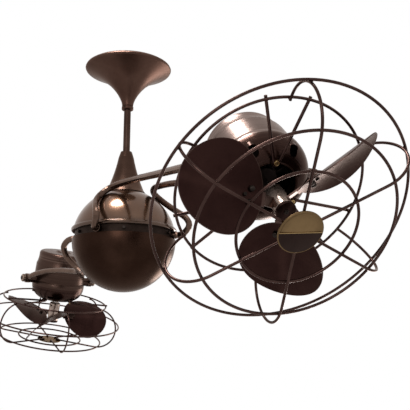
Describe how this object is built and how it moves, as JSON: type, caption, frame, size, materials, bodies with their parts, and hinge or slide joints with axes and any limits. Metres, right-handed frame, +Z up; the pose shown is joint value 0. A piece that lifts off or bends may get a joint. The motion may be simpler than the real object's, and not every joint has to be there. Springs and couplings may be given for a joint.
{
  "type": "twin head ceiling fan",
  "caption": "Ceiling fan with two caged rotors that tilt in bent-tube forks, carried on a ball that turns under a short rod.",
  "frame": {"origin": "centre of the hanger bracket's face against the ceiling, on the rod's axis", "axes": "+Z up into the ceiling, +X from the rod towards the front head's pivots at rest"},
  "size_m": [1.591, 0.4205, 0.6637],
  "materials": {
    "bronze": "oil-rubbed bronze, satin",
    "dark_bronze": "oil-rubbed bronze, darker bowl, satin",
    "bronze_tube": "oil-rubbed bronze, satin",
    "head_bronze": "brushed bronze, semi-gloss",
    "wire_bronze": "oil-rubbed bronze, satin",
    "blade_bronze": "dark bronze paint, satin",
    "black_steel": "black oxide",
    "motor_black": "black paint",
    "bright_steel": "ground",
    "zinc_steel": "zinc plated",
    "black_nylon": "moulded",
    "dark_casting": "cast, dark paint",
    "brass": "bright",
    "badge_brass": "aged",
    "hub_nickel": "turned, satin"
  },
  "bodies": {
    "ceiling": {"hanger_bracket": "zinc_steel", "hanger_ball": "black_nylon", "hanger_pin": "zinc_steel", "canopy": "bronze", "canopy_collar": "bronze", "downrod": "bronze_tube", "rod_coupling": "zinc_steel", "lower_trumpet": "bronze", "spindle": "bright_steel", "spindle_bearings": "bright_steel", "spindle_nut": "zinc_steel"},
    "carousel": {"carrier": "dark_casting", "upper_shell": "bronze", "lower_shell": "dark_bronze", "arm_sockets": "bronze_tube", "seam_screws": "zinc_steel", "front_left_prong": "bronze_tube", "front_right_prong": "bronze_tube", "rear_left_prong": "bronze_tube", "rear_right_prong": "bronze_tube"},
    "front_head": {"front_pivot_screws": "bronze_tube", "front_back_cap": "head_bronze", "front_drum": "head_bronze", "front_dome": "head_bronze", "front_motor": "motor_black", "front_big_ring": "wire_bronze", "front_rear_ring": "wire_bronze", "front_front_ring": "wire_bronze", "front_small_ring": "wire_bronze", "front_ribs": "wire_bronze", "front_struts": "wire_bronze", "front_strut_screws": "brass", "front_badge": "badge_brass"},
    "front_rotor": {"front_shaft": "bright_steel", "front_hub": "hub_nickel", "front_blade_brackets": "black_steel", "front_blades": "blade_bronze", "front_blade_screws": "black_steel", "front_nose": "black_steel"},
    "rear_head": {"rear_pivot_screws": "bronze_tube", "rear_back_cap": "head_bronze", "rear_drum": "head_bronze", "rear_dome": "head_bronze", "rear_motor": "motor_black", "rear_big_ring": "wire_bronze", "rear_rear_ring": "wire_bronze", "rear_front_ring": "wire_bronze", "rear_small_ring": "wire_bronze", "rear_ribs": "wire_bronze", "rear_struts": "wire_bronze", "rear_strut_screws": "brass", "rear_badge": "badge_brass"},
    "rear_rotor": {"rear_shaft": "bright_steel", "rear_hub": "hub_nickel", "rear_blade_brackets": "black_steel", "rear_blades": "blade_bronze", "rear_blade_screws": "black_steel", "rear_nose": "black_steel"}
  },
  "joints": [
    {"name": "carousel_turn", "type": "hinge", "parent": "ceiling", "child": "carousel", "pos_m": [0, 0, -0.422], "axis": [0, 0, 1], "continuous": true},
    {"name": "front_head_tilt", "type": "hinge", "parent": "carousel", "child": "front_head", "pos_m": [0.563, 0, -0.3994], "axis": [0.1262, 0.992, 0], "range_deg": [-43, 47]},
    {"name": "rear_head_tilt", "type": "hinge", "parent": "carousel", "child": "rear_head", "pos_m": [-0.56266, 0.01965, -0.45], "axis": [0.0915, -0.9958, 0], "range_deg": [-72, 18]},
    {"name": "front_rotor_spin", "type": "hinge", "parent": "front_head", "child": "front_rotor", "pos_m": [0.563, 0, -0.3994], "axis": [0.7255, -0.0923, -0.682], "continuous": true},
    {"name": "rear_rotor_spin", "type": "hinge", "parent": "rear_head", "child": "rear_rotor", "pos_m": [-0.56266, 0.01965, -0.45], "axis": [-0.3077, -0.0283, -0.9511], "continuous": true}
  ]
}
